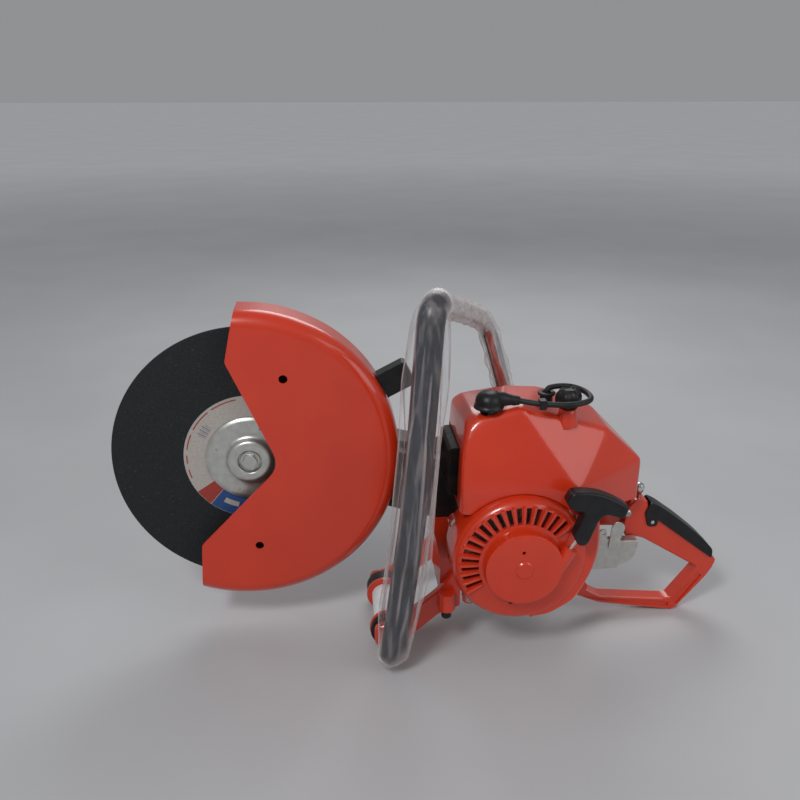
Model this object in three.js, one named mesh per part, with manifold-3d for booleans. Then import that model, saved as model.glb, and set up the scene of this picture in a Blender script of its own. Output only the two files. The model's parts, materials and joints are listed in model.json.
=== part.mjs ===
// Hand-held petrol cut-off saw: a two-stroke engine drives a 350 mm abrasive disc through a belt arm.
// Millimetres, +Z up, +X towards the rear handle, -Y is the operator's left (starter side).
// Everything is laid out about the disc's centre and moved to the row frame at the end.
import * as THREE from 'three';
import { mergeVertices } from 'three/addons/utils/BufferGeometryUtils.js';
import { ConvexGeometry } from 'three/addons/geometries/ConvexGeometry.js';
import Module from 'manifold-3d';

const wasm = await Module();
wasm.setup();

// ---------- driving dimensions ----------
const GAP = 0.3;
const ROW_SHIFT = [-228.19, 28.65, 246.5];
const DISC_R = 175;
const DISC_T = 3.2;
const FLANGE_R = 57;
const SHAFT_R = 15;
const PILOT_R = 12.4;
const CRANK_X = 331;
const CRANK_Z = -94;
const JOURNAL_R = 10;
const ENGINE_MID_Y = -30;
const GUARD_X = -4;
const GUARD_Z = 4;
const GUARD_R = 195.5;
const GUARD_SHEET = 2.5;
const GUARD_FILLET = 19;
const GUARD_FRONT_Y = -30;
const GUARD_BACK_Y = 25;
const ARM_Y0 = 28.3;
const ARM_Y1 = 48;
const COVER_Y1 = 98;
const BELT_Y0 = 56;
const BELT_Y1 = 70;
const DRIVEN_R = 38;
const DRIVER_R = 19;
const BELT_T = 4;
const HOUSING_R = 84;
const HOUSING_Y1 = -70;
const DOME_R = 48;
const DOME_Y = -150;
const ROPE_R = 38;
const PULL_ANGLE = 60;
const ROPE_Y = -141;
const TUBE_R = 11;
const SLEEVE_R = 16;
const ROLLER_X = 172;
const ROLLER_Z = -222;
const ROLLER_FLANGE_R = 24.5;
const HANDLE_Y0 = -27;
const HANDLE_Y1 = -7;
const THROTTLE_PIVOT = [533, -103];

// ---------- materials ----------
const paint = (color, metalness, roughness) =>
  new THREE.MeshStandardMaterial({ color, metalness, roughness });
const RED = paint(0xd8371f, 0.2, 0.3);
const BLACK = paint(0x161719, 0, 0.6);
const RUBBER = paint(0x1d1e20, 0, 0.85);
const STEEL = paint(0xb9bdbf, 0.9, 0.35);
const ALLOY = paint(0xa6a9aa, 0.8, 0.5);
const WHITE = paint(0xe8ecee, 0, 0.45);
const GRIT = paint(0x232629, 0, 0.95);
const FILM = paint(0xe6e2e2, 0, 0.2);
const DARK_STEEL = paint(0x3b3b3d, 0.7, 0.6);

const group = new THREE.Group();
group.name = 'cut_off_saw';

// ---------- solid helpers ----------
function toManifold(geometry) {
  if (!geometry.isBufferGeometry) return geometry;
  const g = geometry.clone();
  g.deleteAttribute('normal');
  g.deleteAttribute('uv');
  const merged = mergeVertices(g, 1e-4);
  const position = merged.getAttribute('position').array;
  const index = merged.index.array;
  const triangles = [];
  let volume = 0;
  const a = new THREE.Vector3();
  const b = new THREE.Vector3();
  const c = new THREE.Vector3();
  for (let i = 0; i < index.length; i += 3) {
    const [p, q, r] = [index[i], index[i + 1], index[i + 2]];
    if (p === q || q === r || r === p) continue;
    a.fromArray(position, 3 * p);
    b.fromArray(position, 3 * q);
    c.fromArray(position, 3 * r);
    volume += a.dot(b.cross(c));
    triangles.push(p, q, r);
  }
  if (volume < 0) {
    for (let i = 0; i < triangles.length; i += 3) {
      [triangles[i], triangles[i + 1]] = [triangles[i + 1], triangles[i]];
    }
  }
  const mesh = new wasm.Mesh({
    numProp: 3,
    vertProperties: new Float32Array(position),
    triVerts: new Uint32Array(triangles),
  });
  return new wasm.Manifold(mesh);
}

function toGeometry(manifold) {
  if (manifold.isBufferGeometry) return manifold;
  const mesh = manifold.getMesh();
  const g = new THREE.BufferGeometry();
  const position = new Float32Array(mesh.numVert * 3);
  for (let i = 0; i < mesh.numVert; i += 1) {
    for (let k = 0; k < 3; k += 1) position[3 * i + k] = mesh.vertProperties[mesh.numProp * i + k];
  }
  g.setAttribute('position', new THREE.BufferAttribute(position, 3));
  g.setIndex(new THREE.BufferAttribute(new Uint32Array(mesh.triVerts), 1));
  return g;
}

function fuse(parts) {
  return parts.map(toManifold).reduce((sum, part) => sum.add(part));
}

function cut(body, tools) {
  return tools.map(toManifold).reduce((rest, tool) => rest.subtract(tool), toManifold(body));
}

function common(a, b) {
  return toManifold(a).intersect(toManifold(b));
}

function node(name, geometry, material) {
  const clean = toGeometry(toManifold(geometry));
  clean.translate(...ROW_SHIFT);
  clean.computeVertexNormals();
  const mesh = new THREE.Mesh(clean, material);
  mesh.name = name;
  group.add(mesh);
}

// ---------- shape helpers ----------
const vec = (p) => new THREE.Vector3(p[0], p[1], p[2]);
const flat = (points) => points.map(([u, v]) => new THREE.Vector2(u, v));

// Revolves [radius, height] points about +Y and sets the axis down at (x, z).
function turnY(profile, x = 0, z = 0, segments = 32) {
  const g = new THREE.LatheGeometry(flat([...profile, profile[0]]), segments);
  return g.translate(x, 0, z);
}

function rodY(r, y0, y1, x = 0, z = 0, segments = 24) {
  return turnY([[0, y0], [r, y0], [r, y1], [0, y1]], x, z, segments);
}

function ringY(r0, r1, y0, y1, x = 0, z = 0, segments = 32) {
  return turnY([[r0, y0], [r1, y0], [r1, y1], [r0, y1]], x, z, segments);
}

// Revolves [radius, height] points about the line from `base` along `direction`.
function turnAlong(profile, base, direction, segments = 16) {
  const g = new THREE.LatheGeometry(flat([...profile, profile[0]]), segments);
  const turn = new THREE.Quaternion().setFromUnitVectors(new THREE.Vector3(0, 1, 0),
    vec(direction).normalize());
  return g.applyQuaternion(turn).translate(...base);
}

function rodAlong(r, length, base, direction, segments = 16) {
  return turnAlong([[0, 0], [r, 0], [r, length], [0, length]], base, direction, segments);
}

function block(x0, x1, y0, y1, z0, z1) {
  const g = new THREE.BoxGeometry(x1 - x0, y1 - y0, z1 - z0);
  return g.translate((x0 + x1) / 2, (y0 + y1) / 2, (z0 + z1) / 2);
}

// Extrudes a closed [x, z] outline from y0 to y1, with its edges rounded by `soft`.
function slab(outline, y0, y1, soft = 0) {
  const shape = outline instanceof THREE.Shape ? outline : new THREE.Shape(flat(outline));
  const g = new THREE.ExtrudeGeometry(shape, {
    depth: y1 - y0 - 2 * soft,
    bevelEnabled: soft > 0,
    bevelThickness: soft,
    bevelSize: soft,
    bevelOffset: -soft,
    bevelSegments: 1,
    curveSegments: 6,
  });
  return g.rotateX(Math.PI / 2).translate(0, y1 - soft, 0);
}

// Straight-sided outline whose corners are rounded by the radius given as each point's third value.
function rounded(points, fallback = 0, steps = 3) {
  const out = [];
  const n = points.length;
  for (let i = 0; i < n; i += 1) {
    const p = new THREE.Vector2(points[i][0], points[i][1]);
    const before = new THREE.Vector2(points[(i + n - 1) % n][0], points[(i + n - 1) % n][1]);
    const after = new THREE.Vector2(points[(i + 1) % n][0], points[(i + 1) % n][1]);
    const r = points[i][2] ?? fallback;
    if (r === 0) {
      out.push([p.x, p.y]);
      continue;
    }
    const toBefore = before.sub(p);
    const toAfter = after.sub(p);
    const reach = Math.min(r, toBefore.length() * 0.48, toAfter.length() * 0.48);
    const start = p.clone().addScaledVector(toBefore.normalize(), reach);
    const end = p.clone().addScaledVector(toAfter.normalize(), reach);
    const arc = new THREE.QuadraticBezierCurve(start, p, end).getPoints(steps);
    arc.forEach((q) => out.push([q.x, q.y]));
  }
  return out;
}

// Outline round a large circle at `a` and another at `b`: a belt's or an arm's shape.
function racetrack(ax, az, ar, bx, bz, br, steps = 14) {
  const along = Math.atan2(bz - az, bx - ax);
  const lean = Math.acos((ar - br) / Math.hypot(bx - ax, bz - az));
  const out = [];
  for (let i = 0; i <= steps; i += 1) {
    const t = along + lean + ((2 * Math.PI - 2 * lean) * i) / steps;
    out.push([ax + ar * Math.cos(t), az + ar * Math.sin(t)]);
  }
  for (let i = 0; i <= steps; i += 1) {
    const t = along - lean + (2 * lean * i) / steps;
    out.push([bx + br * Math.cos(t), bz + br * Math.sin(t)]);
  }
  return out;
}

// Points along a polyline with its corners rounded; each point is [x, y, z, corner reach].
function route(points, spacing, bend = 5) {
  const out = [vec(points[0])];
  const straight = (end) => {
    const start = out[out.length - 1].clone();
    const steps = Math.max(1, Math.round(start.distanceTo(end) / spacing));
    for (let k = 1; k <= steps; k += 1) out.push(start.clone().lerp(end, k / steps));
  };
  for (let i = 1; i < points.length - 1; i += 1) {
    const p = vec(points[i]);
    const reach = points[i][3];
    const start = p.clone().addScaledVector(out[out.length - 1].clone().sub(p).normalize(), reach);
    const end = p.clone().addScaledVector(vec(points[i + 1]).sub(p).normalize(), reach);
    straight(start);
    out.push(...new THREE.QuadraticBezierCurve3(start, p, end).getPoints(bend).slice(1));
  }
  straight(vec(points[points.length - 1]));
  return out;
}

// Curve that stops exactly at the listed points, so nested sweeps share every station.
class Stations extends THREE.Curve {
  constructor(points) {
    super();
    this.points = points;
  }

  getPoint(t) {
    const x = Math.min(Math.max(t, 0), 1) * (this.points.length - 1);
    const i = Math.min(Math.round(x - 0.5), this.points.length - 2);
    return this.points[i].clone().lerp(this.points[i + 1], x - i);
  }

  getPointAt(u) {
    return this.getPoint(u);
  }

  getTangent(t) {
    const d = 0.5 / (this.points.length - 1);
    return this.getPoint(t + d).sub(this.getPoint(t - d)).normalize();
  }

  getTangentAt(u) {
    return this.getTangent(u);
  }
}

function circle(r, segments) {
  const points = [];
  for (let i = 0; i < segments; i += 1) {
    const t = (2 * Math.PI * i) / segments;
    points.push(new THREE.Vector2(r * Math.cos(t), r * Math.sin(t)));
  }
  return points;
}

// Sweeps a round bar, or a hollow one when `inner` is given, through the listed points.
function sweep(points, outer, inner = 0, segments = 12) {
  const shape = new THREE.Shape(circle(outer, segments));
  if (inner > 0) shape.holes.push(new THREE.Path(circle(inner, segments)));
  return new THREE.ExtrudeGeometry(shape, {
    steps: points.length - 1,
    bevelEnabled: false,
    extrudePath: new Stations(points),
  });
}

// Equilateral hexagon across-flats `flats` as a slab about (x, z).
function hexY(flats, y0, y1, x, z) {
  const r = flats / Math.sqrt(3);
  const outline = circle(r, 6).map((p) => [x + p.x, z + p.y]);
  return slab(outline, y0, y1);
}

// ---------- cutting head ----------
function cuttingHead() {
  const half = DISC_T / 2;
  node('cutting_disc', ringY(PILOT_R + GAP, DISC_R, -half, half, 0, 0, 64), GRIT);

  const bore = PILOT_R + GAP;
  const outerFlange = [
    [bore, -3.2], [42, -3.2], [42, -half - GAP], [FLANGE_R, -half - GAP], [FLANGE_R, -4.4], [52, -7.5],
    [36, -7.5], [30, -9], [27, -15], [24, -16.5], [16, -16.5], [15, -15.5], [15, -9.6], [6.4, -9.6],
    [6.4, -7.6], [bore, -7.6],
  ];
  node('outer_flange', turnY(outerFlange, 0, 0, 26), STEEL);

  const innerFlange = [
    [bore, 3.2], [42, 3.2], [42, half + GAP], [FLANGE_R, half + GAP], [FLANGE_R, 4.4], [50, 8],
    [24, 9], [24, 14], [bore, 14],
  ];
  node('inner_flange', turnY(innerFlange, 0, 0, 22), STEEL);

  const shaft = [
    [0, 16], [6.3, 16], [6.3, -7], [PILOT_R, -7], [PILOT_R, 14.4], [SHAFT_R, 14.4], [SHAFT_R, 84], [0, 84],
  ];
  node('arbor_shaft', turnY(shaft, 0, 0, 28), STEEL);

  const washer = rodY(13, -11.7, -9.9);
  const head = hexY(17, -18, -11, 0, 0);
  const shank = rodY(6, -10.5, 14);
  node('arbor_bolt', fuse([washer, head, shank]), STEEL);

  const race = SHAFT_R + GAP;
  node('arbor_bearing_near', ringY(race, 23.4, 17.5, 29.5, 0, 0, 20), STEEL);
  node('arbor_bearing_far', ringY(race, 23.4, 35.5, 47.5, 0, 0, 20), STEEL);
}

// Guard: a turned C-section drum, cut back along a vee so that half the disc shows.
function guard() {
  const r = GUARD_R;
  const s = GUARD_SHEET;
  const f = GUARD_FILLET;
  const y = GUARD_FRONT_Y;
  const arcs = 3;
  const outer = [];
  const inner = [];
  for (let i = 0; i <= arcs; i += 1) {
    const t = (Math.PI / 2) * (i / arcs);
    outer.push([r - f + f * Math.sin(t), y + f - f * Math.cos(t)]);
    inner.unshift([r - f + (f - s) * Math.sin(t), y + f - (f - s) * Math.cos(t)]);
  }
  const profile = [
    [0, y], ...outer, [r, GUARD_BACK_Y], [20, GUARD_BACK_Y], [20, GUARD_BACK_Y - s],
    [r - s, GUARD_BACK_Y - s], ...inner, [0, y + s],
  ];
  const drum = turnY(profile, GUARD_X, GUARD_Z, 56);
  const kept = rounded([
    [1, 236], [-21, 138, 3], [39, -1.5, 22], [-67, -110, 4], [-75, -225], [260, -225], [260, 236],
  ]);
  const open = common(drum, slab(kept, y - 10, GUARD_BACK_Y + 10));
  const holes = [
    rodY(29.6, 15, 40, 0, 0, 32), rodY(5.5, -40, -20, 48, 115, 16), rodY(5.5, -40, -20, 7, -113.5, 16),
  ];
  node('blade_guard', cut(open, holes), RED);

  const bar = slab(rounded([[183, -16.5, 4], [236, -16.5, 6], [236, 16.5, 6], [183, 16.5, 4]]), -10, 10, 2);
  const tilt = THREE.MathUtils.degToRad(27.5);
  bar.rotateY(-tilt).translate(GUARD_X, 0, GUARD_Z);
  const relief = rodY(GUARD_R + GAP, -20, 20, GUARD_X, GUARD_Z, 64);
  node('guard_handle', cut(bar, [relief]), BLACK);
}

// ---------- belt arm ----------
function beltArm() {
  const armOutline = racetrack(0, 0, 34, CRANK_X, CRANK_Z, 46);
  const arm = fuse([slab(armOutline, ARM_Y0, ARM_Y1, 0), rodY(29, 16, ARM_Y0 + 1, 0, 0, 32)]);
  const bores = [rodY(23.7, 10, 60, 0, 0, 32), rodY(12.5, 20, 60, CRANK_X, CRANK_Z, 20)];
  node('cutter_arm', cut(arm, bores), ALLOY);

  const shell = slab(racetrack(0, 0, 46, CRANK_X, CRANK_Z, 50), ARM_Y1 + GAP, COVER_Y1, 3);
  const room = slab(racetrack(0, 0, 43.4, CRANK_X, CRANK_Z, 47.4), ARM_Y1 - 4, COVER_Y1 - 2.6, 0);
  node('belt_cover', cut(shell, [room]), BLACK);

  const loopOuter = racetrack(0, 0, DRIVEN_R + GAP + BELT_T, CRANK_X, CRANK_Z, DRIVER_R + GAP + BELT_T, 12);
  const loopInner = racetrack(0, 0, DRIVEN_R + GAP, CRANK_X, CRANK_Z, DRIVER_R + GAP, 12);
  node('drive_belt', cut(slab(loopOuter, BELT_Y0, BELT_Y1), [slab(loopInner, BELT_Y0 - 2, BELT_Y1 + 2)]),
    RUBBER);

  // Pulley faces stay inside the belt loop's flats: each rim is turned at the loop's inscribed radius.
  const drivenRim = DRIVEN_R * 0.982;
  const driverRim = DRIVER_R * 0.982;
  const driven = [
    [SHAFT_R + GAP, 54], [42.5, 54], [42.5, 55.7], [drivenRim, 55.7], [drivenRim, 70.3], [42.5, 70.3],
    [42.5, 72], [22, 72], [22, 80], [SHAFT_R + GAP, 80],
  ];
  node('driven_pulley', turnY(driven, 0, 0, 24), ALLOY);

  const drum = [
    [JOURNAL_R + GAP, 52], [24, 52], [24, 55.7], [driverRim, 55.7], [driverRim, 70.3], [40, 70.3],
    [40, 94], [37.5, 94], [37.5, 73], [JOURNAL_R + GAP, 73],
  ];
  node('clutch_drum', turnY(drum, CRANK_X, CRANK_Z, 20), STEEL);

  const spider = [rodY(12, 75, 93, CRANK_X, CRANK_Z, 18)];
  for (let i = 0; i < 3; i += 1) {
    const spoke = slab([[10, -3], [22, -3], [22, 3], [10, 3]], 77, 91);
    spoke.rotateY((-2 * Math.PI * i) / 3).translate(CRANK_X, 0, CRANK_Z);
    spider.push(spoke);
  }
  node('clutch_hub', cut(fuse(spider), [rodY(JOURNAL_R + GAP, 70, 99, CRANK_X, CRANK_Z)]), STEEL);
  for (let i = 0; i < 3; i += 1) {
    const shoe = new THREE.Shape();
    shoe.absarc(0, 0, 36.3, -0.95, 0.95, false);
    shoe.absarc(0, 0, 24, 0.95, -0.95, true);
    const body = slab(shoe, 77, 91);
    body.rotateY((-2 * Math.PI * i) / 3).translate(CRANK_X, 0, CRANK_Z);
    node(`clutch_shoe_${i + 1}`, body, DARK_STEEL);
  }
}

// ---------- engine ----------
function crankTrain() {
  const mid = ENGINE_MID_Y;
  const web = 36;
  const crank = [
    rodY(JOURNAL_R, -104, mid - 7, CRANK_X, CRANK_Z, 20),
    rodY(JOURNAL_R, mid + 7, 94.5, CRANK_X, CRANK_Z, 20),
    rodY(web, mid - 20, mid - 7, CRANK_X, CRANK_Z, 20),
    rodY(web, mid + 7, mid + 20, CRANK_X, CRANK_Z, 20),
    rodY(8, mid - 8, mid + 8, CRANK_X, CRANK_Z + 22, 16),
  ];
  node('crankshaft', fuse(crank), STEEL);

  const barrel = rodY(60, -66, 28, CRANK_X, CRANK_Z, 26);
  const sole = block(283, 392, -62, 28, -150, -110);
  const deck = block(288, 374, -66, 8, -60, -38);
  const rooms = [
    rodY(41, mid - 22, mid + 22, CRANK_X, CRANK_Z, 28),
    rodY(JOURNAL_R + 1, -80, 40, CRANK_X, CRANK_Z),
    rodAlong(24.3, 70, [CRANK_X, mid, CRANK_Z], [0, 0, 1], 28),
    block(260, 400, -80, 40, -38, -20),
    block(260, 400, -80, 40, -170, -150),
    block(260, 400, 21, 40, -42, -20),
  ];
  node('crankcase', cut(fuse([barrel, sole, deck]), rooms), ALLOY);

  node('piston', turnAlong([[0, 20], [12, 19.4], [23.5, 17], [23.5, -16], [19, -16], [19, 12], [0, 12]],
    [CRANK_X, mid, 0], [0, 0, 1], 24), ALLOY);

  const fins = [];
  for (let z = -30; z < 50; z += 19) fins.push([34, z], [39, z], [39, z + 5], [34, z + 5]);
  const shape = [[24, -37.7], [40, -37.7], [40, -32.7], [34, -32.7], ...fins.slice(2), [30, 58], [0, 58],
    [0, 44],
    [20, 40], [24, 34]];
  const body = turnAlong(shape, [CRANK_X, mid, 0], [0, 0, 1], 16);
  const plugWay = rodAlong(7.3, 60, PLUG_BASE, PLUG_AXIS, 16);
  const plugSeat = rodAlong(11.4, 60, along(PLUG_BASE, PLUG_AXIS, 12.7), PLUG_AXIS, 16);
  const boss = rodAlong(12.5, 12, PLUG_BASE, PLUG_AXIS, 16);
  const fused = fuse([body, boss]);
  const ports = [block(280, 312, -42, -18, -14, 4), rodAlong(11, 40, [350, mid, -19], [1, 0, 0], 16)];
  const flanges = [block(287, 300, -48, -12, -20, 10), rodAlong(16, 14, [364, mid, -19], [1, 0, 0], 16)];
  const bore = rodAlong(24, 76, [CRANK_X, mid, -40], [0, 0, 1], 20);
  const jacket = cut(fuse([fused, ...flanges]), [bore, ...ports, plugWay, plugSeat]);
  node('cylinder', jacket, ALLOY);
}

const PLUG_TIP = [291, -84, 96];
const PLUG_AXIS = [-21, -30, 35];
const PLUG_BASE = along(PLUG_TIP, PLUG_AXIS, -56);

function along(point, direction, distance) {
  const p = vec(point).addScaledVector(vec(direction).normalize(), distance);
  return [p.x, p.y, p.z];
}

function ignition() {
  const plug = [[0, 1], [6.8, 1], [6.8, 13], [10.6, 13], [10.6, 22], [6, 23], [5, 44], [3, 45], [3, 54],
    [0, 54]];
  node('spark_plug', turnAlong(plug, PLUG_BASE, PLUG_AXIS, 14), WHITE);

  const dome = turnAlong([[0, 91.7], [18, 91.7], [18, 94], [16.5, 97], [16.5, 103], [13, 109],
    [7.5, 112], [0, 112.6]],
    [292, -85, 0], [0, 0, 1], 20);
  const neck = turnAlong([[0, 0], [9, 0], [6.5, 18], [6, 29], [0, 29]], [300, -85, 103],
    [1, -0.03, -0.12], 14);
  const socket = rodAlong(6.6, 60, along(PLUG_TIP, PLUG_AXIS, -60.5), PLUG_AXIS, 14);
  node('spark_plug_boot', cut(fuse([dome, neck]), [socket, block(260, 330, -110, -60, 60, 91.7)]), RUBBER);

  const lead = route([
    [331, -86.4, 99.2], [352, -95, 98, 8], [388, -103, 98, 14], [419, -88, 98.5, 16], [414, -54, 101, 16],
    [388, -46, 104, 14], [371, -47, 100, 6], [371, -48, 70, 10], [385, -64, 60, 8], [385, -66, 40.6],
  ], 30, 3);
  node('ignition_lead', sweep(lead, 3.5, 0, 6), RUBBER);

  const clip = block(350, 358, -101.5, -90.5, 92.6, 104);
  node('lead_clip', cut(clip, [rodAlong(4.4, 30, [340, -91.6, 98.5], [15.5, -3.6, 0], 12)]), BLACK);
  node('lead_grommet', turnAlong([[5.4, 76], [8, 76], [8, 92.6], [11, 92.6], [11, 96], [5.4, 96]],
    [371, -47.5, 0], [0, 0, 1], 16), RUBBER);
  node('ignition_coil', block(374, 400, -80, -56, 8, 40), BLACK);
}

// Hood: a folded sheet shell with a ridge on the near side; open below and in front.
function hood() {
  const skin = [
    [257, -115, -34], [257, -116, -4], [262, -100, 60], [266, -93, 76], [274, -84, 84], [266, -78, 82],
    [332, -93, 91], [332, -84, 94], [402, -116, -8], [404, -115, -40], [501, -50, 0], [500, -50, -56],
    [448, -64, 51], [441, 0, 61], [375, 2, 86], [332, 0, 90], [270, -2, 82], [260, 10, 70], [257, 25, -6],
    [257, 25, -34], [402, 25, -12], [404, 25, -40], [501, -8, 0], [500, -8, -56],
  ];
  const middle = new THREE.Vector3(378, -40, 10);
  const outer = new ConvexGeometry(skin.map(vec));
  const shrink = skin.map((p) => {
    const q = vec(p).sub(middle);
    q.set(q.x * 0.978, q.y * 0.955, q.z * 0.966);
    if (p[2] < -30) q.z -= 12;
    return q.add(middle);
  });
  const inner = new ConvexGeometry(shrink);
  const front = slab(rounded([[246, -30], [246, 40], [275, 40], [275, -30]]), -86, 8);
  const holes = [
    rodAlong(13, 60, along(PLUG_TIP, PLUG_AXIS, -50), PLUG_AXIS, 16),
    rodAlong(8.4, 30, [371, -47.5, 70], [0, 0, 1], 16),
    rodAlong(5.4, 40, [391, -75, 60], [0, 0, 1], 12),
    rodY(HOUSING_R + 0.8, -140, HOUSING_Y1 + 0.5, CRANK_X, CRANK_Z, 34),
    slab(voluteOutline(1.05), -140, HOUSING_Y1 + 0.5),
    block(396, 406, -140, HOUSING_Y1 + 0.5, -60, -28),
  ];
  node('engine_hood', cut(outer, [inner, front, ...holes]), RED);

  const knob = [[0, 62], [5, 62], [5, 85], [13, 86], [16.5, 92], [16.5, 101], [14, 106], [7, 109],
    [0, 109.5]];
  node('hood_knob', turnAlong(knob, [391, -75, 0], [0, 0, 1], 20), BLACK);
}

function muffler() {
  const box = slab(rounded([[246, -28], [246, 36], [284, 36], [284, -28]], 8), -78, 4, 3);
  const pipe = rodAlong(8, 12, [236, -20, 20], [1, 0, 0], 14);
  const bore = rodAlong(6, 20, [230, -20, 20], [1, 0, 0], 14);
  node('muffler', cut(fuse([box, pipe]), [bore]), DARK_STEEL);
}

// ---------- starter ----------
// Outline of the housing's spiral part, scaled about its own middle.
function voluteOutline(scale) {
  return rounded([
    [347, -178, 0], [372, -174, 8], [403, -154, 10], [419, -122, 12], [428, -90, 12], [428, -60, 10],
    [424, -30, 6], [404, -30, 6], [398, -56, 8], [340, -70, 0],
  ]).map(([x, z]) => [385 + (x - 385) * scale, -102 + (z + 102) * scale]);
}

function starter() {
  const cx = CRANK_X;
  const cz = CRANK_Z;
  const dome = [
    [0, HOUSING_Y1], [0, DOME_Y - 1.6], [10, DOME_Y - 1.6], [11.5, DOME_Y], [DOME_R - 4, DOME_Y],
    [DOME_R - 1, DOME_Y + 1.5], [DOME_R, DOME_Y + 5], [DOME_R + 1, -134], [74, -131], [80, -128],
    [HOUSING_R, -120], [HOUSING_R, HOUSING_Y1],
  ];
  const lugs = [[257, -64], [277, -176], [425, -168]].map(([x, z]) =>
    slab(racetrack(x, z, 9, x + (cx - x) * 0.35, z + (cz - z) * 0.35, 14, 6), -79, HOUSING_Y1));
  const pull = THREE.MathUtils.degToRad(PULL_ANGLE);
  const way = [Math.cos(pull), 0, Math.sin(pull)];
  const tangent = [cx + ROPE_R * way[2], ROPE_Y, cz - ROPE_R * way[0]];
  const tower = rodAlong(9, 30, along(tangent, way, 18), way, 18);
  const solid = fuse([turnY(dome, cx, cz, 34), slab(voluteOutline(1), -127, HOUSING_Y1, 3), tower, ...lugs]);

  const w = 3.2;
  const inside = [
    [0, -106], [0, HOUSING_Y1 + 4], [HOUSING_R - w, HOUSING_Y1 + 4], [HOUSING_R - w, -119], [76, -125.5],
    [DOME_R - 2, -129], [DOME_R - w, DOME_Y + w], [8, DOME_Y + w], [8, -106],
  ];
  const tools = [
    turnY(inside, cx, cz, 24), slab(voluteOutline(0.92), -122, HOUSING_Y1 + 4),
    rodAlong(3, 80, along(tangent, way, 2), way, 10),
    rodY(2.4, -160, -140, cx - 2, cz + 24, 10), rodY(3, -160, -120, cx - 11, cz - 54.5, 10),
  ];
  for (let i = 0; i < 17; i += 1) {
    const slot = slab([[53, -2.5], [74, -3.1], [74, 3.1], [53, 2.5]], -145, -112);
    slot.rotateY(-THREE.MathUtils.degToRad(205 - 10 * i)).translate(cx, 0, cz);
    tools.push(slot);
  }
  node('starter_housing', cut(solid, tools), RED);

  const reel = [
    [8.4, -146.2], [41, -146.2], [41, -143.4], [ROPE_R - 2.2, -143.2], [ROPE_R - 2.2, -138.8], [41, -138.6],
    [41, -135.6], [22, -135.6], [22, -118], [8.4, -118],
  ];
  node('recoil_pulley', turnY(reel, cx, cz, 20), BLACK);
  node('recoil_spring', ringY(24, 33, -135.2, -130, cx, cz, 20), STEEL);

  const handle = rounded([
    [375, -4], [381, 9], [397, 9.5], [416, 6], [434, -2], [451, -13], [446, -28], [423, -21], [415, -29],
    [406, -56], [401, -62], [393, -61], [387, -50], [398, -17], [383, -15],
  ], 3, 2);
  const grip = slab(handle, ROPE_Y - 14, ROPE_Y + 5, 3);
  const rope = rodAlong(1.9, 66, along(tangent, way, 3), way, 8);
  node('pull_handle', cut(grip, [rodAlong(2.3, 60, along(tangent, way, 10), way, 10)]), BLACK);
  node('starter_rope', rope, WHITE);

  const blades = [ringY(JOURNAL_R + GAP, 32, -100, -74, cx, cz, 24), ringY(30, 73, -78, -74, cx, cz, 32)];
  for (let i = 0; i < 12; i += 1) {
    const blade = block(31, 72, -100, -77, -1.5, 1.5);
    blade.rotateY((Math.PI / 6) * i).translate(cx, 0, cz);
    blades.push(blade);
  }
  node('flywheel_fan', fuse(blades), ALLOY);
}

// ---------- fuel, air and mixture ----------
function fuelAndAir() {
  const tank = slab(rounded([[283, -186], [392, -186], [392, -150.4], [283, -150.4]], 10), -62, 28, 4);
  node('fuel_tank', tank, BLACK);
  node('fuel_cap', turnAlong([[0, 0], [11, 0], [13, 2], [13, 9], [10, 11], [0, 11]], [392.4, 14, -168],
    [1, 0, 0], 20),
    BLACK);

  const intake = route([[378.4, ENGINE_MID_Y, -19], [404, -31, -19, 16], [412, -46, -76, 24],
    [412, -40, -139, 18],
    [439.5, -40, -139]], 40, 4);
  node('intake_manifold', sweep(intake, 11, 0, 10), RUBBER);
  node('air_filter', slab(rounded([[420, -34], [480, -34], [480, 0], [456, 32], [420, 40]], 6),
    -60, -12, 3), WHITE);

  const body = slab(rounded([[440, -160], [482, -160], [482, -120], [440, -120]], 4), -45.7, -33, 0.8);
  const bowl = slab(rounded([[470, -162, 5], [497, -156, 8], [508, -146, 8], [511, -122, 4],
    [470, -122, 4]]),
    -44, -29, 0.8);
  node('carburettor_body', fuse([body, bowl]), ALLOY);
  const plate = rounded([[440, -162], [484, -160], [486, -118], [466, -116], [464, -101], [456, -101],
    [452, -116],
    [440, -118]], 3, 2);
  const screwWays = [rodY(1.9, -52, -44, 460, -107, 10), rodY(2.3, -52, -44, 474, -126, 12)];
  node('carburettor_plate', cut(slab(plate, -48, -46), screwWays), STEEL);
  node('choke_lever', fuse([
    slab(racetrack(479, -99, 9, 474, -126, 6, 8), -50.4, -48.4), rodY(1.9, -49, -46.4, 474, -126, 10),
  ]), STEEL);
}

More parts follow.
